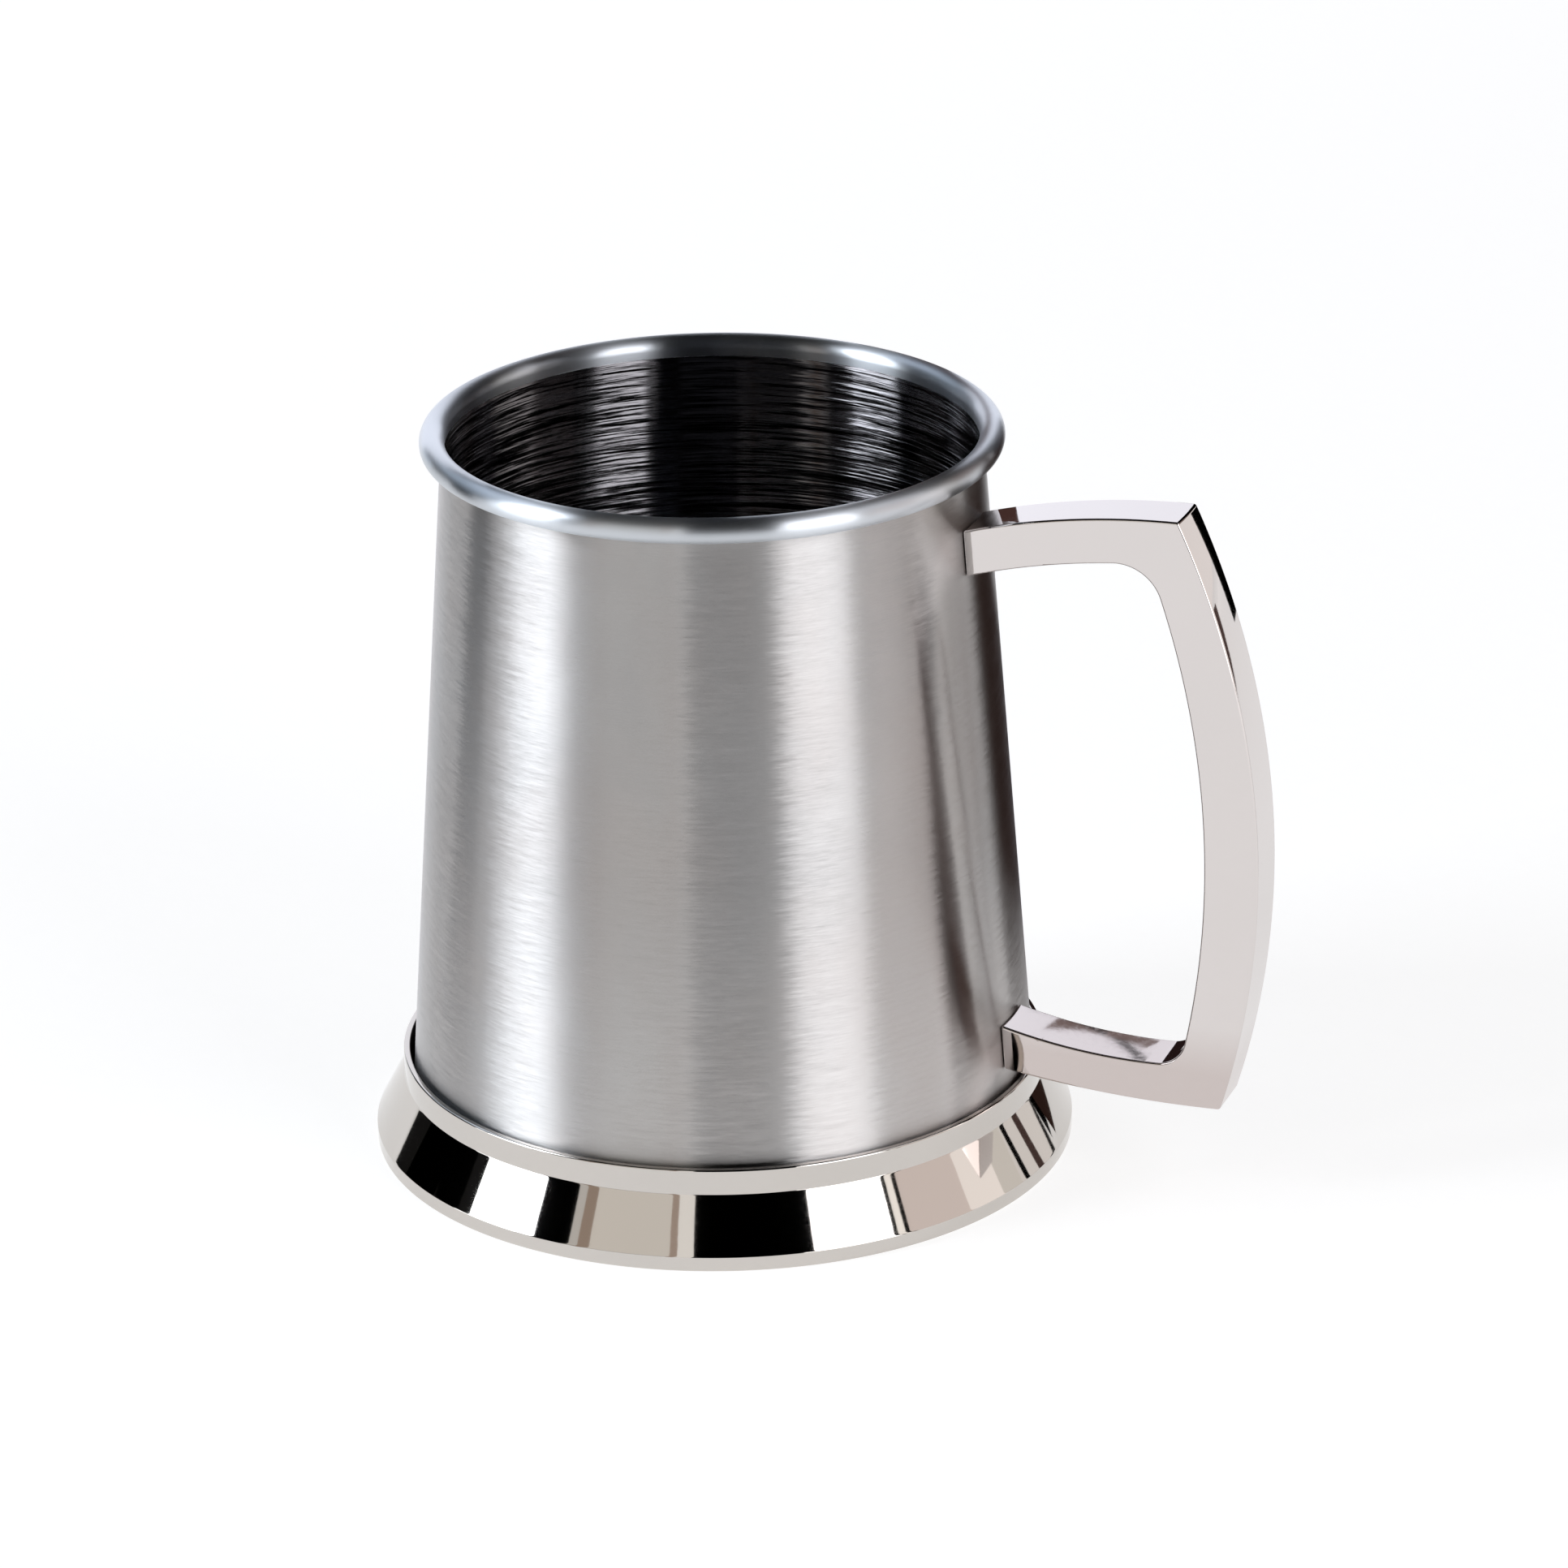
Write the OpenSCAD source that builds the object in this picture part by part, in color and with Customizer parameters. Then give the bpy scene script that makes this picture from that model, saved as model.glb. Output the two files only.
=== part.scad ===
// Footed tankard: a tapered brushed steel cup with a rolled rim, a cast bright foot ring
// drawn up by a stud and nut under the floor, and a cast C handle on two welded studs.
// Origin: centre of the cup's axis on the surface that the foot stands on. Handle along +X.

/* [Cup] */
// Height to the top of the rim bead
cup_h = 120; // [100:0.5:140]
// Outer radius of the wall just under the rim bead
mouth_r = 42.5; // [38:0.1:44]
// Outer radius of the wall at the top of the foot ring
waist_r = 49.85; // [48:0.05:49.9]
// Thickness of the sheet
sheet = 0.6; // [0.5:0.05:0.8]
// Outer radius of the rim bead's rolled tube
bead_r = 2.0; // [1.6:0.1:2.4]
// Height of the cup's inside floor above the surface
floor_z = 10.8; // [10:0.1:12]

/* [Foot ring] */
// Radius of the foot ring where it stands
foot_r = 56.4; // [55:0.1:60]
// Height of the low upright edge
foot_edge_h = 2.4; // [1.6:0.1:2.8]
// Radius of the upright band at the top of the ring
band_r = 51.7; // [51.5:0.1:53]
// Height where the flare meets the upright band
band_z = 11.0; // [10:0.1:12]
// Height of the top of the ring
ring_h = 15.2; // [14:0.1:16]

/* [Handle] */
// Width of the bar, across the handle
bar_w = 9.5; // [8:0.1:12]
// Largest reach of the grip from the cup's axis
reach = 91.1; // [90:0.1:94]
// Thickness of the grip
grip_t = 8.8; // [7:0.1:9]
// Height of the upper arm's highest point
top_z = 113.65; // [110:0.05:114]
// Depth of the upper arm
top_arm_t = 7.3; // [6.5:0.1:8]
// Height of the lower arm's lowest point
bottom_z = 16; // [15.4:0.05:17]
// Depth of the lower arm
bottom_arm_t = 6.7; // [6.5:0.1:8]
// Diameter of the welded studs that hold the handle
stud_d = 4; // [3:0.1:4]

/* [Hidden] */
$fn = 128;

steel = "silver";
nickel = "gainsboro";
zinc = "darkgray";

weld_gap = 0.03;
fine_step = 2;
coarse_step = 9;

// Wall: outer radius at a height, on the straight taper
bead_z = cup_h - bead_r;
taper = (waist_r - mouth_r) / (bead_z - ring_h);
taper_angle = atan(taper);
function wall_r(z) = waist_r + (ring_h - z) * taper;
wall_bottom_z = 7.5;
bead_c = [mouth_r - sheet + bead_r, bead_z];
bead_end_angle = -120;

// Foot ring: ledge that carries the cup, recess below it for the base plate
ledge_z = wall_bottom_z - weld_gap;
ledge_t = 2;
ledge_r = 45.5;
ring_bore_r = wall_r(wall_bottom_z) + 0.25;
recess_r = 52.2;
plate_top_z = ledge_z - ledge_t - weld_gap;

// Base plate: a flat rim and a raised centre that hides the nut
plate_t = 0.8;
plate_r = 51.9;
plate_rise = 3.4;
well_r = 15;
well_slope = 3;
nut_d = 7 / cos(30);
nut_h = 2.2;
washer_d = 9;
washer_t = 0.8;
base_stud_d = 4;
stud_hole_clear = 0.25;
stud_proud = 0.4;
floor_t = 0.7;
floor_under_z = floor_z - floor_t;
centre_under_z = plate_top_z - plate_t + plate_rise;

// Handle: circles that its edges follow, in the plane [distance from the axis, height]
bow_z = 55.5;
bow_r = 135;
grip_r = 142;
top_r = 126;
bottom_r = 190;
bottom_top_r = 95;
top_x = 79;
bottom_x = 78;
bottom_top_x = 72;
bow_c = [reach - bow_r, bow_z];
grip_c = [reach - grip_t - grip_r, bow_z];
top_c = [top_x, top_z - top_r];
under_r = top_r - top_arm_t;
bottom_c = [bottom_x, bottom_z + bottom_r];
inner_low_c = [bottom_top_x, bottom_z + bottom_arm_t + bottom_top_r];
upper_round = 7.4;
lower_round = 4.9;
arm_root_x = 38;

// Studs and grub screws: where each stud leaves the wall, and its slope along the arm
stud_len = 12;
stud_head_d = 6;
stud_head_t = 1;
bore_clear = 0.05;
stud_root_x = -6;
upper_stud_z = 105.2;
lower_stud_z = 21.1;
upper_slope = 14;
lower_slope = -7;
grub_d = 3;
grub_x = 8;
grub_len = 2.6;
grub_socket = 1.5;
seat_depth = 0.5;

// Points of an arc round c, from angle a0 to a1, one every step degrees or closer
function arc(c, r, a0, a1, step = fine_step) =
    let (n = max(2, ceil(abs(a1 - a0) / step)))
    [for (i = [0:n]) c + r * [cos(a0 + (a1 - a0) * i / n), sin(a0 + (a1 - a0) * i / n)]];
// Right-hand meeting point of two circles
function meet(c0, r0, c1, r1, side) =
    let (
        v = c1 - c0,
        d = norm(v),
        a = (r0 * r0 - r1 * r1 + d * d) / (2 * d),
        h = sqrt(r0 * r0 - a * a),
        u = v / d
    )
    c0 + a * u + side * h * [-u[1], u[0]];
function angle_at(c, p) = atan2(p[1] - c[1], p[0] - c[0]);
// Height of an arc's crossing of the line x = x0, on its upper or lower side
function arc_z(c, r, x0, side) = c[1] + side * sqrt(r * r - (x0 - c[0]) * (x0 - c[0]));

// Solid between the axis and the wall's outer surface
module wall_envelope(extra) {
    translate([0, 0, ring_h - 20])
        cylinder(h = cup_h, r1 = wall_r(ring_h - 20) + extra, r2 = wall_r(ring_h - 20 + cup_h) + extra);
}

// Tapered sheet wall, rolled outward into a bead that stops just short of the wall
module barrel_wall() {
    outer = [[wall_r(wall_bottom_z), wall_bottom_z], [wall_r(bead_z - bead_r), bead_z - bead_r]];
    root = [bead_c[0] - bead_r + sheet, bead_z];
    color(steel)
        rotate_extrude()
            polygon(concat(
                outer,
                [root],
                arc(bead_c, bead_r - sheet, 180, bead_end_angle, coarse_step),
                arc(bead_c, bead_r, bead_end_angle, 180, coarse_step),
                [[wall_r(wall_bottom_z) - sheet, wall_bottom_z]]
            ));
}

// Pressed floor with a skirt turned down inside the wall
module floor_pan() {
    color(steel)
        rotate_extrude()
            difference() {
                polygon([
                    [0, floor_z],
                    [wall_r(floor_z) - sheet - weld_gap, floor_z],
                    [wall_r(wall_bottom_z) - sheet - weld_gap, wall_bottom_z],
                    [0, wall_bottom_z]
                ]);
                translate([-1, wall_bottom_z - 1])
                    square([wall_r(wall_bottom_z) - 2 * sheet, floor_under_z - wall_bottom_z + 1]);
            }
}

// Stud under the middle of the floor, with a welding flange
module floor_stud() {
    top = floor_under_z - weld_gap;
    tip = centre_under_z - washer_t - nut_h - stud_proud;
    color(zinc) {
        translate([0, 0, tip])
            cylinder(h = top - tip, d = base_stud_d);
        translate([0, 0, top - stud_head_t])
            cylinder(h = stud_head_t, d = 2 * base_stud_d);
    }
}

// Cast ring: upright band, straight flare, low upright edge, and a ledge inside
module foot_ring() {
    color(nickel)
        rotate_extrude()
            polygon([
                [recess_r, 0],
                [foot_r, 0],
                [foot_r, foot_edge_h],
                [band_r, band_z],
                [band_r, ring_h],
                [ring_bore_r, ring_h],
                [ring_bore_r, ledge_z],
                [ledge_r, ledge_z],
                [ledge_r, ledge_z - ledge_t],
                [recess_r, ledge_z - ledge_t]
            ]);
}

// Pressed disc that bears up on the ring's ledge, with a raised centre
module base_plate() {
    color(steel)
        rotate_extrude()
            difference() {
                polygon([
                    [0, plate_top_z + plate_rise],
                    [well_r, plate_top_z + plate_rise],
                    [well_r + well_slope, plate_top_z],
                    [plate_r, plate_top_z],
                    [plate_r, plate_top_z - plate_t],
                    [well_r + well_slope - plate_t / 2, plate_top_z - plate_t],
                    [well_r - plate_t / 2, plate_top_z + plate_rise - plate_t],
                    [0, plate_top_z + plate_rise - plate_t]
                ]);
                square([base_stud_d / 2 + stud_hole_clear, cup_h]);
            }
}

module base_washer() {
    color(zinc)
        translate([0, 0, centre_under_z - weld_gap - washer_t])
            difference() {
                cylinder(h = washer_t, d = washer_d);
                translate([0, 0, -1])
                    cylinder(h = washer_t + 2, d = base_stud_d + 2 * stud_hole_clear);
            }
}

module base_nut() {
    color(zinc)
        translate([0, 0, centre_under_z - 2 * weld_gap - washer_t - nut_h])
            difference() {
                cylinder(h = nut_h, d = nut_d, $fn = 6);
                translate([0, 0, -1])
                    cylinder(h = nut_h + 2, d = base_stud_d + 2 * weld_gap);
            }
}

// Side view of the handle, closed behind the wall
module handle_outline() {
    corner_low = meet(bow_c, bow_r, bottom_c, bottom_r, -1);
    corner_top = meet(bow_c, bow_r, top_c, top_r, 1);
    up_c = meet(grip_c, grip_r - upper_round, top_c, under_r - upper_round, 1);
    lo_c = meet(grip_c, grip_r - lower_round, inner_low_c, bottom_top_r - lower_round, -1);
    root_low = [arm_root_x, arc_z(bottom_c, bottom_r, arm_root_x, -1)];
    root_top = [arm_root_x, arc_z(top_c, top_r, arm_root_x, 1)];
    root_under = [arm_root_x, arc_z(top_c, under_r, arm_root_x, 1)];
    root_above = [arm_root_x, arc_z(inner_low_c, bottom_top_r, arm_root_x, -1)];
    up_grip = angle_at(grip_c, up_c);
    up_arm = angle_at(top_c, up_c);
    lo_grip = angle_at(grip_c, lo_c);
    lo_arm = angle_at(inner_low_c, lo_c);
    polygon(concat(
        arc(bottom_c, bottom_r, angle_at(bottom_c, root_low), angle_at(bottom_c, corner_low)),
        arc(bow_c, bow_r, angle_at(bow_c, corner_low), angle_at(bow_c, corner_top)),
        arc(top_c, top_r, angle_at(top_c, corner_top), angle_at(top_c, root_top)),
        arc(top_c, under_r, angle_at(top_c, root_under), up_arm),
        arc(up_c, upper_round, up_arm, up_grip, coarse_step),
        arc(grip_c, grip_r, up_grip, lo_grip),
        arc(lo_c, lower_round, lo_grip, lo_arm, coarse_step),
        arc(inner_low_c, bottom_top_r, lo_arm, angle_at(inner_low_c, root_above))
    ));
}

// Puts a stud's or screw's own axes on the wall: X out along the arm, Z across it
module at_stud(z, slope) {
    translate([wall_r(z), 0, z])
        rotate([0, -slope, 0])
            children();
}

// Bore for a stud, its welded head and the grub screw that crosses it
module stud_bores(z, slope) {
    at_stud(z, slope) {
        rotate([0, 90, 0]) {
            translate([0, 0, stud_root_x])
                cylinder(h = stud_len + 0.5 - stud_root_x, d = stud_d + 2 * bore_clear);
            translate([0, 0, stud_root_x])
                cylinder(h = stud_head_t + 0.2 - stud_root_x, d = stud_head_d + 4 * bore_clear);
        }
        translate([grub_x, 0, -stud_d * 2])
            cylinder(h = stud_d * 2, d = grub_d);
    }
}

module handle() {
    color(nickel)
        difference() {
            translate([0, bar_w / 2, 0])
                rotate([90, 0, 0])
                    linear_extrude(bar_w)
                        handle_outline();
            wall_envelope(weld_gap);
            stud_bores(upper_stud_z, upper_slope);
            stud_bores(lower_stud_z, lower_slope);
        }
}

// Stud welded to the wall, with a flat seat where the grub screw bears
module handle_stud(z, slope) {
    color(zinc)
        difference() {
            at_stud(z, slope)
                rotate([0, 90, 0]) {
                    translate([0, 0, stud_root_x])
                        cylinder(h = stud_len - stud_root_x, d = stud_d);
                    translate([0, 0, stud_root_x])
                        cylinder(h = stud_head_t - stud_root_x, d = stud_head_d);
                }
            wall_envelope(weld_gap);
            at_stud(z, slope)
                translate([grub_x - grub_d / 2 - bore_clear, -stud_d, -stud_d / 2 - 1])
                    cube([grub_d + 2 * bore_clear, 2 * stud_d, 1 + seat_depth]);
        }
}

module upper_handle_stud() {
    handle_stud(upper_stud_z, upper_slope);
}

module lower_handle_stud() {
    handle_stud(lower_stud_z, lower_slope);
}

// Headless screw with a hexagon socket, its tip on the stud's seat
module grub_screw(z, slope) {
    color(zinc)
        at_stud(z, slope)
            translate([grub_x, 0, seat_depth - stud_d / 2 - weld_gap])
                mirror([0, 0, 1])
                    difference() {
                        cylinder(h = grub_len, d = grub_d - 2 * weld_gap);
                        translate([0, 0, grub_len / 2])
                            cylinder(h = grub_len, d = grub_socket / cos(30), $fn = 6);
                    }
}

module upper_grub_screw() {
    grub_screw(upper_stud_z, upper_slope);
}

module lower_grub_screw() {
    grub_screw(lower_stud_z, lower_slope);
}

barrel_wall();
floor_pan();
floor_stud();
foot_ring();
base_plate();
base_washer();
base_nut();
handle();
upper_handle_stud();
lower_handle_stud();
upper_grub_screw();
lower_grub_screw();
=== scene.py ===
import math
import bmesh
import bpy
from mathutils import Matrix, Vector


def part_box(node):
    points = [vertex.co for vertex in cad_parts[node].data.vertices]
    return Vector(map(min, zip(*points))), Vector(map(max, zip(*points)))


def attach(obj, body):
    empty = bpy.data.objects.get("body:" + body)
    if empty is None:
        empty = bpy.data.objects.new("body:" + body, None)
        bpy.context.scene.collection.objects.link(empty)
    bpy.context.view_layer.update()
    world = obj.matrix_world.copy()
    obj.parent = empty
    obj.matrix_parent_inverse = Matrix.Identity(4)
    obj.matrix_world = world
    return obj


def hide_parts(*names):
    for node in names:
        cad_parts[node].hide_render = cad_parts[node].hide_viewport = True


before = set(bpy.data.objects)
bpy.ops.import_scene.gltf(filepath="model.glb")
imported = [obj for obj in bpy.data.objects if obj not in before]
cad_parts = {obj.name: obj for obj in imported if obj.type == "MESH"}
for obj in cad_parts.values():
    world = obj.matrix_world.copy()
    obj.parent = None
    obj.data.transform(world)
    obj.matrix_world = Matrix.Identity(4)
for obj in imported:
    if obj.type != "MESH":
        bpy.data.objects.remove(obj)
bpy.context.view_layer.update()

MM = 0.001

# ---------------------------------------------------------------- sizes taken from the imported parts
cup_low, cup_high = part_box("barrel_wall")
ring_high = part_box("foot_ring")[1]
bar_low, bar_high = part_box("handle")

cup_h = cup_high.z
foot_r = ring_high.x
ring_h = ring_high.z
bar_w = bar_high.y - bar_low.y
reach = bar_high.x

# Cup: sheet, taper and rolled bead
sheet = 0.6 * MM
bead_r = 2.0 * MM
mouth_r = 42.5 * MM
waist_r = 49.85 * MM
bead_z = cup_h - bead_r
bead_mid_r = mouth_r - sheet + bead_r
bead_end = math.radians(-120)
taper = (waist_r - mouth_r) / (bead_z - ring_h)

# Cup finish: where the polish of the bead starts, and the height below which painted light lightens
# the wall toward the foot
inside_top_z = cup_h - 1.6 * bead_r
polish_z = cup_h - 2.1 * bead_r
polish_fade = 0.4 * MM
painted_light_top_z = 60 * MM

# Foot ring: band, flare and low upright edge
foot_edge_h = 2.4 * MM
band_r = 51.7 * MM
band_z = 11.0 * MM
ledge_z = 7.47 * MM
ledge_t = 2.0 * MM
ledge_r = 45.5 * MM
ring_bore_r = 50.65 * MM
recess_r = 52.2 * MM

# Handle: section, reach and the circles that its edges follow
grip_t = 8.8 * MM
top_z = 113.65 * MM
top_arm_t = 7.3 * MM
bottom_z = 16.0 * MM
bottom_arm_t = 6.7 * MM
bow_z = 55.5 * MM
crown = 0.17 * MM
crown_from = 62 * MM
crown_full = top_z - 10 * MM
bow_r = 135 * MM
grip_r = 142 * MM
top_r = 126 * MM
bottom_r = 190 * MM
bottom_top_r = 95 * MM
top_x = 79 * MM
bottom_x = 78 * MM
bottom_top_x = 72 * MM
upper_round = 7.4 * MM
lower_round = 4.9 * MM
seat_gap = 0.05 * MM
edge_ease = 0.4 * MM
# The handle's lowest part is painted darker from this height down: painted shade.
painted_shade_top_z = 30 * MM
painted_shade_fade = 8 * MM


def wall_r(z):
    """Outer radius of the cup wall at a height."""
    return waist_r + (ring_h - z) * taper


# ---------------------------------------------------------------- shader maths
class Val:
    """A value in a node tree. Arithmetic on it adds Math nodes."""

    def __init__(self, maker, socket):
        self.maker = maker
        self.socket = socket

    def math(self, operation, *values):
        node = self.maker.add("ShaderNodeMath", {"operation": operation}, dict(enumerate(values)))
        return Val(self.maker, node.outputs[0])

    def __add__(self, other):
        return self.math("ADD", self, other)

    def __radd__(self, other):
        return self.math("ADD", other, self)

    def __sub__(self, other):
        return self.math("SUBTRACT", self, other)

    def __rsub__(self, other):
        return self.math("SUBTRACT", other, self)

    def __mul__(self, other):
        return self.math("MULTIPLY", self, other)

    def __rmul__(self, other):
        return self.math("MULTIPLY", other, self)

    def __truediv__(self, other):
        return self.math("DIVIDE", self, other)

    def __gt__(self, other):
        return self.math("GREATER_THAN", self, other)

    def __lt__(self, other):
        return self.math("LESS_THAN", self, other)

    def root(self):
        return self.math("SQRT", self)

    def clamped(self):
        return self.math("MINIMUM", self.math("MAXIMUM", self, 0.0), 1.0)


class Maker:
    """Fills one node tree, such as a material's."""

    def __init__(self, tree):
        self.tree = tree
        tree.nodes.clear()

    def add(self, kind, settings=None, inputs=None):
        """One node of any type: its settings first, then its sockets' values or links."""
        node = self.tree.nodes.new(kind)
        for key, value in (settings or {}).items():
            if key == "stops":
                self.set_stops(node.color_ramp, value)
            else:
                setattr(node, key, value)
        for key, value in (inputs or {}).items():
            if isinstance(value, Val):
                self.tree.links.new(value.socket, node.inputs[key])
            else:
                node.inputs[key].default_value = value
        return node

    def out(self, kind, output, settings=None, inputs=None):
        """The named output of a new node, as a value."""
        return Val(self, self.add(kind, settings, inputs).outputs[output])

    @staticmethod
    def set_stops(ramp, stops):
        while len(ramp.elements) < len(stops):
            ramp.elements.new(0.5)
        for element, (place, colour) in zip(ramp.elements, stops):
            element.position = place
            element.color = colour

    def place(self):
        """Object coordinates, as x, y and z values."""
        spot = self.out("ShaderNodeTexCoord", "Object")
        split = self.add("ShaderNodeSeparateXYZ", None, {0: spot})
        return [Val(self, split.outputs[i]) for i in range(3)]

    def vector(self, x, y, z):
        return self.out("ShaderNodeCombineXYZ", 0, None, {0: x, 1: y, 2: z})

    def noise(self, vector, scale, detail=2.0, rough=0.5):
        return self.out("ShaderNodeTexNoise", "Fac", {"noise_dimensions": "3D"},
                        {"Vector": vector, "Scale": scale, "Detail": detail, "Roughness": rough})

    def mix(self, factor, first, second):
        """Blend of two colours."""
        node = self.add("ShaderNodeMix", {"data_type": "RGBA"}, {0: factor, 6: first, 7: second})
        return Val(self, node.outputs[2])

    def leaned(self, east, north, sway, lift):
        """The surface normal, leaned round the Z axis by the sway and upward by the lift."""
        normal = self.out("ShaderNodeNewGeometry", "Normal")
        lean = self.vector(north * sway * -1.0, east * sway, lift)
        leaned = self.out("ShaderNodeVectorMath", 0, {"operation": "ADD"}, {0: normal, 1: lean})
        return self.out("ShaderNodeVectorMath", 0, {"operation": "NORMALIZE"}, {0: leaned})

    def bump(self, height, strength, distance, normal=None):
        sockets = {"Height": height, "Strength": strength, "Distance": distance}
        if normal:
            sockets["Normal"] = normal
        return self.out("ShaderNodeBump", "Normal", None, sockets)

    def finish(self, **sockets):
        """The metal shader, with its sockets, joined to the output."""
        named = {key.replace("_", " "): value for key, value in sockets.items()}
        shader = self.out("ShaderNodeBsdfPrincipled", "BSDF", None, named)
        self.add("ShaderNodeOutputMaterial", None, {"Surface": shader})


def new_material(name):
    material = bpy.data.materials.new(name)
    material.use_nodes = True
    return material, Maker(material.node_tree)


def rgb(r, g, b):
    return (r, g, b, 1.0)


# ---------------------------------------------------------------- finishes
def brushed_cup_steel():
    """Satin stainless steel brushed round the cup, painted lighter toward the foot (painted light),
    polished on the bead, and painted near-black inside (painted shade) with deep scratch lines. Each
    line of the brushing leans its own way."""
    material, m = new_material("brushed_cup_steel")
    x, y, z = m.place()
    radius = (x * x + y * y).root()
    east = x / radius
    north = y / radius
    inside = (radius < (ring_h - z) * taper + (waist_r - sheet / 2)) * (z < inside_top_z)
    on_bead = ((z - polish_z) * (1.0 / polish_fade)).clamped() * (1.0 - inside)
    on_wall = 1.0 - on_bead
    outside = 1.0 - inside
    hair = m.noise(m.vector(east * 14.0, north * 14.0, z * 4200.0), 1.0, 3.0, 0.75)
    band = m.noise(m.vector(east * 5.0, north * 5.0, z * 1500.0), 1.0, 3.0, 0.55)
    scratch = m.noise(m.vector(east * 2.6, north * 2.6, z * 2600.0), 1.0, 4.0, 0.75)
    cloud = m.noise(m.vector(east * 3.0, north * 3.0, z * 45.0), 1.0, 3.0, 0.55)
    lines = hair * 0.6 + band * 0.4
    rough = 0.36 + (lines - 0.5) * 0.30 + (cloud - 0.5) * 0.10
    rough_in = 0.15 + (scratch - 0.5) * 0.12
    rough = rough * outside + rough_in * inside
    rough = rough * on_wall + 0.31 * on_bead
    shade = (lines - 0.5) * 1.5 + (cloud - 0.5) * 0.8 + 0.5
    satin = m.mix(shade.clamped(), rgb(0.345, 0.335, 0.335), rgb(0.60, 0.59, 0.585))
    # Painted light: below this height the wall's colour is drawn lighter toward the foot, so the upper
    # wall reads as shaded under the bead.
    low = ((painted_light_top_z - z) * (1.0 / painted_light_top_z)).clamped()
    satin = m.mix(low * 0.48, satin, rgb(0.78, 0.77, 0.765))
    handled = m.noise(m.vector(x, y, z * 0.6), 42.0, 3.0, 0.6)
    satin = m.mix((handled * 2.4 - 0.9).clamped() * 0.5, satin, rgb(0.50, 0.455, 0.435))
    # Painted shade: the inside of the cup is painted near-black, with lighter scratch lines on it.
    painted_shade_inside = m.mix((scratch * 4.0 - 1.6).clamped(), rgb(0.008, 0.007, 0.008), rgb(0.18, 0.175, 0.184))
    colour = m.mix(inside, m.mix(on_bead, satin, rgb(0.62, 0.65, 0.69)), painted_shade_inside)
    sway = ((lines - 0.5) * outside * 0.14 + (scratch - 0.5) * inside * 0.12) * on_wall
    lift = ((lines - 0.5) * outside * 0.30 + (scratch - 0.33) * inside * 1.9) * on_wall
    height = lines * outside + scratch * inside * 1.5
    m.finish(Base_Color=colour, Metallic=1.0, Roughness=rough, Anisotropic=1.0,
             Anisotropic_Rotation=0.25,
             Normal=m.bump(height * on_wall, 0.35, 0.012 * MM, m.leaned(east, north, sway, lift)))
    return material


def nickel_plate(name, warm, cool, painted_shade_bore_r=0, low_painted_shade=None):
    """Bright nickel on a hand-polished casting: faint waves and fine wiping marks.
    Inside the joint radius it is painted near-black and rougher: painted shade in the gap where the
    foot ring meets the cup.
    The low painted shade darkens and warms its lowest part, painted shade where it mirrors the shaded
    table."""
    material, m = new_material(name)
    x, y, z = m.place()
    spot = m.vector(x, y, z)
    wave = m.noise(spot, 90.0, 1.0, 0.4)
    peel = m.noise(spot, 420.0, 2.0, 0.5)
    wipe = m.noise(m.vector(x * 900.0, y * 900.0, z * 6000.0), 1.0, 3.0, 0.6)
    tone = m.noise(spot, 35.0, 2.0, 0.5)
    rough = 0.035 + (wipe - 0.5).clamped() * 0.10 + (tone - 0.5) * 0.02
    colour = m.mix(tone, warm, cool)
    # Painted shade: below a set height the colour is drawn toward a darker, warmer tone.
    if low_painted_shade:
        colour = m.mix(((painted_shade_top_z - z) * (1.0 / painted_shade_fade)).clamped(), colour, low_painted_shade)
    if painted_shade_bore_r:
        # Painted shade: inside the bore, above the ledge, the colour is painted near-black, the shadow
        # in the gap between foot ring and cup.
        painted_shade_in_bore = ((x * x + y * y).root() < painted_shade_bore_r) * (z > ledge_z)
        colour = m.mix(painted_shade_in_bore, colour, rgb(0.02, 0.018, 0.016))
        rough = rough + painted_shade_in_bore * 0.4
    m.finish(Base_Color=colour, Metallic=1.0, Roughness=rough,
             Normal=m.bump(wave + peel * 0.12, 0.25, 0.05 * MM))
    return material


def plain_steel(name, dark, light, rough):
    """Pressed or turned steel under the foot and in the joints."""
    material, m = new_material(name)
    x, y, z = m.place()
    grain = m.noise(m.vector(x, y, z), 900.0, 3.0, 0.6)
    stain = m.noise(m.vector(x, y, z), 60.0, 3.0, 0.55)
    m.finish(Base_Color=m.mix(stain, dark, light), Metallic=1.0,
             Roughness=rough + (grain - 0.5) * 0.18 + (stain - 0.5) * 0.12,
             Normal=m.bump(grain, 0.3, 0.02 * MM))
    return material


def floor_steel():
    """Satin steel of the cup's floor, brushed in rings."""
    material, m = new_material("ringed_floor_steel")
    x, y, z = m.place()
    radius = (x * x + y * y).root()
    rings = m.noise(m.vector(x * 30.0, y * 30.0, radius * 3500.0), 1.0, 2.0, 0.6)
    m.finish(Base_Color=m.mix(rings, rgb(0.45, 0.44, 0.43), rgb(0.60, 0.59, 0.58)), Metallic=1.0,
             Roughness=0.30 + (rings - 0.5) * 0.25, Normal=m.bump(rings, 0.3, 0.012 * MM))
    return material


def table_paper():
    """Matte pale sweep that the tankard stands on."""
    material, m = new_material("table_paper")
    x, y, z = m.place()
    fibre = m.noise(m.vector(x, y, z), 300.0, 3.0, 0.6)
    m.finish(Base_Color=m.mix(fibre, rgb(0.38, 0.38, 0.38), rgb(0.42, 0.42, 0.42)), Roughness=0.9,
             Emission_Color=rgb(1.0, 1.0, 1.0), Emission_Strength=0.76)
    return material


def glow(name, colour):
    """Even light or shade of a studio panel."""
    material, m = new_material(name)
    light = m.out("ShaderNodeEmission", 0, None, {"Color": colour, "Strength": 1.0})
    m.add("ShaderNodeOutputMaterial", None, {"Surface": light})
    return material


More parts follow.
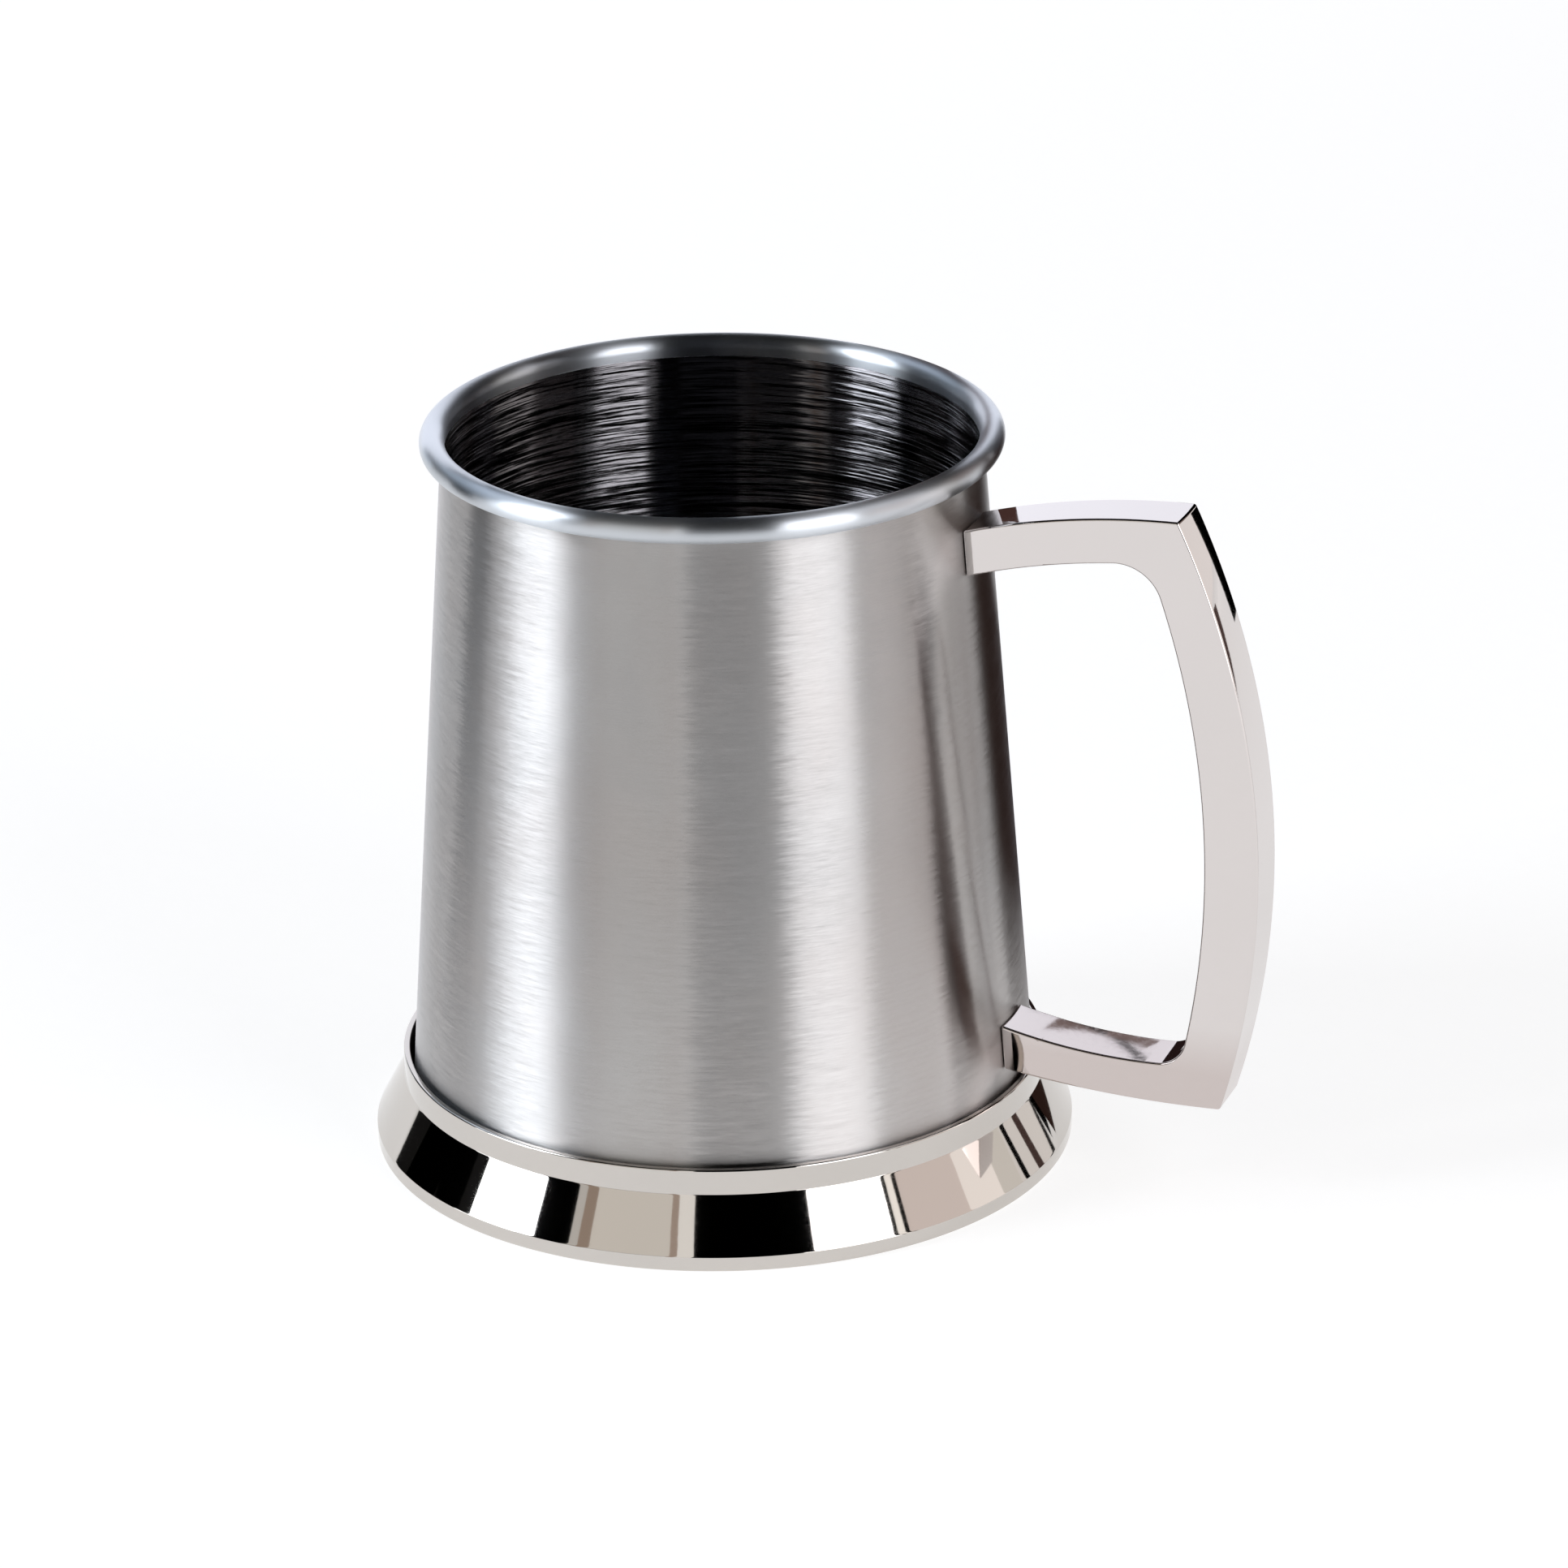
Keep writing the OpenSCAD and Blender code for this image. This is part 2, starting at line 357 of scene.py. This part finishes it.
# ---------------------------------------------------------------- mesh helpers
def new_object(name, mesh, material):
    """Mesh object of one material, in the scene."""
    piece = bpy.data.objects.new(name, mesh)
    bpy.context.scene.collection.objects.link(piece)
    mesh.materials.append(material)
    return piece


def arc(centre, radius, start, end, step=math.radians(2)):
    """Points of an arc in a plane, from angle start to end."""
    count = max(2, math.ceil(abs(end - start) / step))
    turn = [start + (end - start) * i / count for i in range(count + 1)]
    return [Vector((centre[0] + radius * math.cos(t), centre[1] + radius * math.sin(t))) for t in turn]


def rounded(corners, radii, steps=6, hold=0.6):
    """Closed outline with its corners rounded. Each flat keeps a point close to each round."""
    points = []
    for i, corner in enumerate(corners):
        corner = Vector(corner)
        before = (Vector(corners[i - 1]) - corner).normalized()
        after = (Vector(corners[(i + 1) % len(corners)]) - corner).normalized()
        half = before.angle(after) / 2
        radius = radii[i]
        back = radius / math.tan(half)
        centre = corner + (before + after).normalized() * (radius / math.sin(half))
        start, end = corner + before * back, corner + after * back
        points.append(start + before * hold * radius)
        for k in range(steps + 1):
            mixed = (start - centre).lerp(end - centre, k / steps)
            points.append(centre + mixed.normalized() * radius)
        points.append(end + after * hold * radius)
    return points


def turned(name, outline, material, segments=288):
    """Solid of a closed outline of (radius, height) turned about the Z axis."""
    shape = bmesh.new()
    rings = []
    for k in range(segments):
        angle = 2 * math.pi * k / segments
        rings.append([
            shape.verts.new((p[0] * math.cos(angle), p[0] * math.sin(angle), p[1])) for p in outline
        ])
    for k, ring in enumerate(rings):
        after = rings[(k + 1) % segments]
        for i in range(len(outline)):
            j = (i + 1) % len(outline)
            shape.faces.new((ring[i], after[i], after[j], ring[j]))
    bmesh.ops.recalc_face_normals(shape, faces=shape.faces)
    for face in shape.faces:
        face.smooth = True
    mesh = bpy.data.meshes.new(name)
    shape.to_mesh(mesh)
    shape.free()
    return new_object(name, mesh, material)


def stands_for(piece, node):
    """The piece is shown in place of the CAD node."""
    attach(piece, "root")
    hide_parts(node)


# ---------------------------------------------------------------- pieces
def make_cup():
    """Wall with a soft bend into the bead, and the bead rolled under to just short of the wall."""
    bottom = cup_low.z
    outer = [Vector((wall_r(bottom + t * (bead_z - bottom)), bottom + t * (bead_z - bottom)))
             for t in (0, 0.03, 0.1, 0.25, 0.5, 0.75, 0.9, 0.96, 0.985)]
    inner = [p - Vector((sheet, 0)) for p in outer]
    middle = (bead_mid_r, bead_z)
    step = math.radians(7.5)
    roll_in = arc(middle, bead_r - sheet, math.pi, bead_end, step)
    roll_out = arc(middle, bead_r, bead_end, math.pi, step)
    outline = outer + roll_in + roll_out + inner[::-1]
    cup = turned("cup_wall", outline, brushed_cup_steel())
    stands_for(cup, "barrel_wall")
    return cup


def make_foot():
    """Foot ring with softened edges."""
    corners = [
        (recess_r, 0), (foot_r, 0), (foot_r, foot_edge_h), (band_r, band_z), (band_r, ring_h),
        (ring_bore_r, ring_h), (ring_bore_r, ledge_z), (ledge_r, ledge_z),
        (ledge_r, ledge_z - ledge_t), (recess_r, ledge_z - ledge_t),
    ]
    radii = [0.3, 0.35, 0.4, 0.35, 0.35, 0.25, 0.2, 0.2, 0.2, 0.2]
    outline = rounded(corners, [r * MM for r in radii])
    # The last value is the radius inside which the bore is painted near-black, as painted shade of the
    # gap.
    nickel = nickel_plate("bright_nickel_foot", rgb(0.60, 0.565, 0.53), rgb(0.56, 0.53, 0.50),
                          ring_bore_r + 0.1 * MM)
    foot = turned("foot_ring_cast", outline, nickel)
    stands_for(foot, "foot_ring")
    return foot


def meet(centre_a, radius_a, centre_b, radius_b, side):
    """One of the two points where two circles meet."""
    a, b = Vector(centre_a), Vector(centre_b)
    gap = (b - a).length
    along = (radius_a ** 2 - radius_b ** 2 + gap ** 2) / (2 * gap)
    across = math.sqrt(radius_a ** 2 - along ** 2)
    unit = (b - a) / gap
    return a + unit * along + side * across * Vector((-unit.y, unit.x))


def angle_at(centre, point):
    return math.atan2(point[1] - centre[1], point[0] - centre[0])


def arm_root(centre, radius, across, side, rounds=12):
    """Where an arm's edge meets the cup wall, that far across the bar, found in rounds."""
    x = mouth_r
    for _ in range(rounds):
        z = centre[1] + side * math.sqrt(radius ** 2 - (x - centre[0]) ** 2)
        x = math.sqrt((wall_r(z) + seat_gap) ** 2 - across ** 2)
    return Vector((x, z))


def handle_outline(across):
    """Side view of the handle at a place across the bar, its arms ending on the cup wall."""
    bow_c = (reach - bow_r, bow_z)
    grip_c = (reach - grip_t - grip_r, bow_z)
    top_c = (top_x, top_z - top_r)
    under_r = top_r - top_arm_t
    low_c = (bottom_x, bottom_z + bottom_r)
    inner_c = (bottom_top_x, bottom_z + bottom_arm_t + bottom_top_r)
    corner_low = meet(bow_c, bow_r, low_c, bottom_r, -1)
    corner_top = meet(bow_c, bow_r, top_c, top_r, 1)
    up_c = meet(grip_c, grip_r - upper_round, top_c, under_r - upper_round, 1)
    lo_c = meet(grip_c, grip_r - lower_round, inner_c, bottom_top_r - lower_round, -1)
    up_grip, up_arm = angle_at(grip_c, up_c), angle_at(top_c, up_c)
    lo_grip, lo_arm = angle_at(grip_c, lo_c), angle_at(inner_c, lo_c)
    root_low = arm_root(low_c, bottom_r, across, -1)
    root_top = arm_root(top_c, top_r, across, 1)
    root_under = arm_root(top_c, under_r, across, 1)
    root_above = arm_root(inner_c, bottom_top_r, across, -1)
    fine, tight = math.radians(1), math.radians(5)

    def crowned(point):
        """The polished back of the grip stands proud along its middle, more toward the top."""
        rise = min(1.0, max(0.0, (point.y - crown_from) / (crown_full - crown_from)))
        return point - Vector((crown * rise * (2 * across / bar_w) ** 2, 0))

    def run(centre, radius, start, end, count):
        return arc(centre, radius, start, end, abs(end - start) / count + 1e-9)

    return (
        run(low_c, bottom_r, angle_at(low_c, root_low), angle_at(low_c, corner_low), 16)
        + [crowned(p) for p in
           arc(bow_c, bow_r, angle_at(bow_c, corner_low), angle_at(bow_c, corner_top), fine)[1:]]
        + run(top_c, top_r, angle_at(top_c, corner_top), angle_at(top_c, root_top), 16)[1:]
        + run(top_c, under_r, angle_at(top_c, root_under), up_arm, 12)
        + arc(up_c, upper_round, up_arm, up_grip, tight)[1:]
        + arc(grip_c, grip_r, up_grip, lo_grip, fine)[1:]
        + arc(lo_c, lower_round, lo_grip, lo_arm, tight)[1:]
        + run(inner_c, bottom_top_r, lo_arm, angle_at(inner_c, root_above), 12)[1:]
    )


def make_handle():
    """Cast C handle: slices across the bar joined into one solid, with eased edges."""
    slices = 8
    places = [bar_w * (k / slices - 0.5) for k in range(slices + 1)]
    shape = bmesh.new()
    loops = [[shape.verts.new((p.x, y, p.y)) for p in handle_outline(y)] for y in places]
    for low, high in zip(loops, loops[1:]):
        for i in range(len(low)):
            j = (i + 1) % len(low)
            shape.faces.new((low[i], low[j], high[j], high[i]))
    shape.faces.new(loops[0][::-1])
    shape.faces.new(loops[-1])
    bmesh.ops.recalc_face_normals(shape, faces=shape.faces)
    for face in shape.faces:
        face.smooth = True
    mesh = bpy.data.meshes.new("handle_cast")
    shape.to_mesh(mesh)
    shape.free()
    # The low colour is painted shade on the handle's lowest part.
    nickel = nickel_plate("bright_nickel_handle", rgb(0.69, 0.645, 0.63), rgb(0.66, 0.62, 0.605),
                          low_painted_shade=rgb(0.58, 0.515, 0.495))
    handle = new_object("handle_cast", mesh, nickel)
    ease = handle.modifiers.new("eased_edges", "BEVEL")
    ease.width = edge_ease
    ease.segments = 3
    ease.limit_method = "ANGLE"
    ease.angle_limit = math.radians(20)
    ease.harden_normals = True
    stands_for(handle, "handle")
    return handle


def finish_inner_parts():
    """Better finishes for the parts that keep their CAD shape."""
    plated = plain_steel("zinc_plated_steel", rgb(0.40, 0.42, 0.44), rgb(0.55, 0.56, 0.57), 0.32)
    pressed = plain_steel("pressed_plate_steel", rgb(0.36, 0.36, 0.36), rgb(0.52, 0.52, 0.52), 0.38)
    finishes = {"floor_pan": floor_steel(), "base_plate": pressed}
    for name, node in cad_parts.items():
        if name in ("barrel_wall", "foot_ring", "handle"):
            continue
        node.data.materials.clear()
        node.data.materials.append(finishes.get(name, plated))


# ---------------------------------------------------------------- studio
look_azimuth = math.radians(20.5)
look_down = math.radians(22.09)
look_roll = math.radians(-0.87)
look_distance = 1171.6 * MM
look_target = Vector((2.6, 22.8, 50.5)) * MM
lens = 165.35


def add_camera():
    """Camera looking down at the target, with the handle to its right."""
    ahead = Vector((
        -math.sin(look_azimuth) * math.cos(look_down),
        math.cos(look_azimuth) * math.cos(look_down),
        -math.sin(look_down),
    ))
    side = Vector((math.cos(look_azimuth), math.sin(look_azimuth), 0))
    down = ahead.cross(side)
    right = side * math.cos(look_roll) - down * math.sin(look_roll)
    down = side * math.sin(look_roll) + down * math.cos(look_roll)
    spot = look_target - ahead * look_distance
    data = bpy.data.cameras.new("camera")
    data.lens = lens
    data.sensor_width = 36
    data.clip_start = 0.01
    camera = bpy.data.objects.new("camera", data)
    bpy.context.scene.collection.objects.link(camera)
    axes = Matrix((right, -down, -ahead)).transposed()
    camera.matrix_world = Matrix.Translation(spot) @ axes.to_4x4()
    bpy.context.scene.camera = camera


def add_floor():
    """Round table top under the tankard."""
    shape = bmesh.new()
    bmesh.ops.create_circle(shape, cap_ends=True, segments=96, radius=4.0)
    mesh = bpy.data.meshes.new("table_top")
    shape.to_mesh(mesh)
    shape.free()
    new_object("table_top", mesh, table_paper())


def round_axis(azimuth, elevation, distance):
    """Point at that distance from the axis: angles are degrees, from the camera's side."""
    turn = math.radians(azimuth) + look_azimuth
    height = math.tan(math.radians(elevation))
    return Vector((math.sin(turn), -math.cos(turn), height)) * distance


def add_panel(name, material, azimuth, elevation, distance=1.2, drop=0.0, lean=0.0):
    """Curved studio panel round the tankard. Its far end is lower than its start by the drop,
    and its top edge is turned on from its bottom edge by the lean."""
    shape = bmesh.new()
    steps = max(2, math.ceil(abs(azimuth[1] - azimuth[0]) / 4))
    rows = 6 if lean else 1
    columns = []
    for k in range(steps + 1):
        across = azimuth[0] + (azimuth[1] - azimuth[0]) * k / steps
        columns.append([
            shape.verts.new(round_axis(
                across + lean * row / rows,
                elevation[0] + (elevation[1] - elevation[0]) * row / rows - drop * k / steps,
                distance,
            ))
            for row in range(rows + 1)
        ])
    for a, b in zip(columns, columns[1:]):
        for row in range(rows):
            shape.faces.new((a[row], b[row], b[row + 1], a[row + 1]))
    mesh = bpy.data.meshes.new(name)
    shape.to_mesh(mesh)
    shape.free()
    panel = new_object(name, mesh, material)
    panel.visible_camera = False
    panel.visible_shadow = False
    return panel


# Panels round the tankard: name, azimuth, elevation (degrees from the camera's side), brightness
panels = [
    ("backdrop", (160, 212), (1, 33), (1.16, 1.19, 1.30)),
    ("rear_left_top", (-148, -112), (40, 55), (0.9, 1.02, 1.2)),
    ("rear_left_high", (-148, -88), (24, 40), (0.55, 0.64, 0.75)),
    ("rear_left_low", (-148, -134), (1, 10), (0.7, 0.8, 0.9)),
    ("rear_left_flag", (-148, -93), (10, 24), (0, 0, 0)),
    ("softbox_left_low", (-93, -68), (1, 11), (3.1, 3.25, 3.4)),
    ("softbox_left", (-88, -64), (11, 26), (5.0, 5.3, 5.6)),
    ("softbox_left_high", (-88, -64), (26, 49), (6.2, 6.5, 6.9)),
    ("side_left_flag", (-64, -52), (6, 36), (0, 0, 0)),
    ("side_left_strip", (-52, -49), (6, 36), (0.7, 0.68, 0.65)),
    ("side_left_wood", (-49, -45), (6, 36), (0.42, 0.33, 0.27)),
    ("front_left_low", (-45, -18.5), (1, 24), (0.75, 0.74, 0.71)),
    ("front_left", (-45, -18.5), (24, 38), (0.88, 0.84, 0.78)),
    ("front_left_wood", (-18.5, -16), (1, 38), (0.50, 0.40, 0.34)),
    ("front_left_edge", (-16, -10.5), (1, 38), (1.1, 1.08, 1.05)),
    ("front_flag", (-10.5, 24), (1, 50), (0, 0, 0)),
    ("front_flag_high", (24, 29), (16, 50), (0, 0, 0)),
    ("softbox_right_low", (24, 56), (1, 16), (2.9, 2.9, 2.95)),
    ("softbox_right", (29, 56), (16, 28), (4.5, 4.5, 4.6)),
    ("softbox_right_high", (29, 56), (28, 47), (3.4, 3.4, 3.5)),
    ("side_right_top", (57, 107), (37, 60), (1.0, 1.0, 1.03)),
    ("side_right_flag_a", (56, 57.5), (1, 38), (0, 0, 0)),
    ("side_right_gap", (57.5, 60), (1, 38), (1.4, 1.35, 1.3)),
    ("side_right_flag_b", (60, 61.5), (1, 38), (0, 0, 0)),
    ("side_right", (61.5, 84), (1, 32), (0.95, 0.84, 0.80)),
    ("side_right_light", (84, 98), (1, 32), (1.3, 1.22, 1.18)),
    ("side_right_cream", (98, 107), (1, 32), (0.9, 0.86, 0.81)),
    ("rear_right_low", (107, 136), (1, 14), (0.98, 0.94, 0.92)),
    ("rear_right_high", (107, 136), (14, 36), (0.22, 0.16, 0.14)),
    ("rear_right_flag", (136, 160), (1, 50), (0, 0, 0)),
]

# Dark cards standing close to the tankard, and over its mouth:
# name, distance, azimuth, elevation, brightness, drop, lean
cards = [
    ("card_right_a", 0.2, (118, 122), (0.5, 55), (0, 0, 0), 0, 0),
    ("card_right_b", 0.2, (129, 145), (0.5, 55), (0, 0, 0), 0, 0),
    ("card_right_c", 0.115, (110, 137), (0.5, 46), (0.03, 0.015, 0.012), 0, 0),
    ("card_right_d", 0.2, (98, 100), (0.5, 24), (0, 0, 0), 0, 0),
    ("card_right_e", 0.2, (105, 108), (0.5, 24), (0.08, 0.05, 0.045), 0, 0),
    ("card_right_edge", 0.115, (137, 155), (0.5, 27), (0.02, 0.01, 0.01), 0, 0),
    ("card_right_far", 0.2, (114, 118), (20, 30), (0, 0, 0), 0, 0),
    ("card_grip", 0.055, (58.4, 63.2), (23, 60.5), (0.06, 0.03, 0.025), 0, -4.2),
    ("card_grip_far", 0.055, (69.6, 70.8), (26, 59), (0.14, 0.09, 0.08), 0, -5.6),
    ("card_joint", 0.07, (144, 160), (45, 75), (0.07, 0.035, 0.03), 0, 0),
    ("card_mouth_front", 0.04, (-61, 20), (71.92, 79), (0.03, 0.031, 0.036), 0, 0),
    ("card_mouth_right", 0.04, (77, 125), (71.92, 79), (0.02, 0.021, 0.024), 0, 0),
    ("card_mouth_rear", 0.04, (-185, -143), (71.92, 79), (0.02, 0.021, 0.024), 0, 0),
    ("card_rear", 0.2, (151.8, 156.6), (33.2, 34.0), (0.22, 0.16, 0.15), 3.6, 0),
    ("card_rear_edge", 0.2, (149.0, 157.5), (34.0, 34.3), (0, 0, 0), 3.6, 0),
    ("card_left", 0.28, (-112, -97), (0.5, 30), (0, 0, 0), 0, 0),
]


def add_studio():
    """Nearly dark surroundings, lit by the panels and shaded by the cards."""
    world = bpy.data.worlds.new("studio")
    world.use_nodes = True
    bpy.context.scene.world = world
    m = Maker(world.node_tree)
    sky = m.out("ShaderNodeBackground", 0, None, {"Color": rgb(1.0, 1.0, 1.0), "Strength": 0.01})
    m.add("ShaderNodeOutputWorld", None, {"Surface": sky})
    bpy.context.scene.view_settings.view_transform = "Standard"
    for name, azimuth, elevation, colour in panels:
        add_panel(name, glow(name, rgb(*colour)), azimuth, elevation)
    for name, distance, azimuth, elevation, colour, drop, lean in cards:
        shade = glow(name, rgb(*colour))
        card = add_panel(name, shade, azimuth, elevation, distance, drop, lean)
        card.visible_diffuse = False


make_cup()
make_foot()
make_handle()
finish_inner_parts()
add_camera()
add_floor()
add_studio()
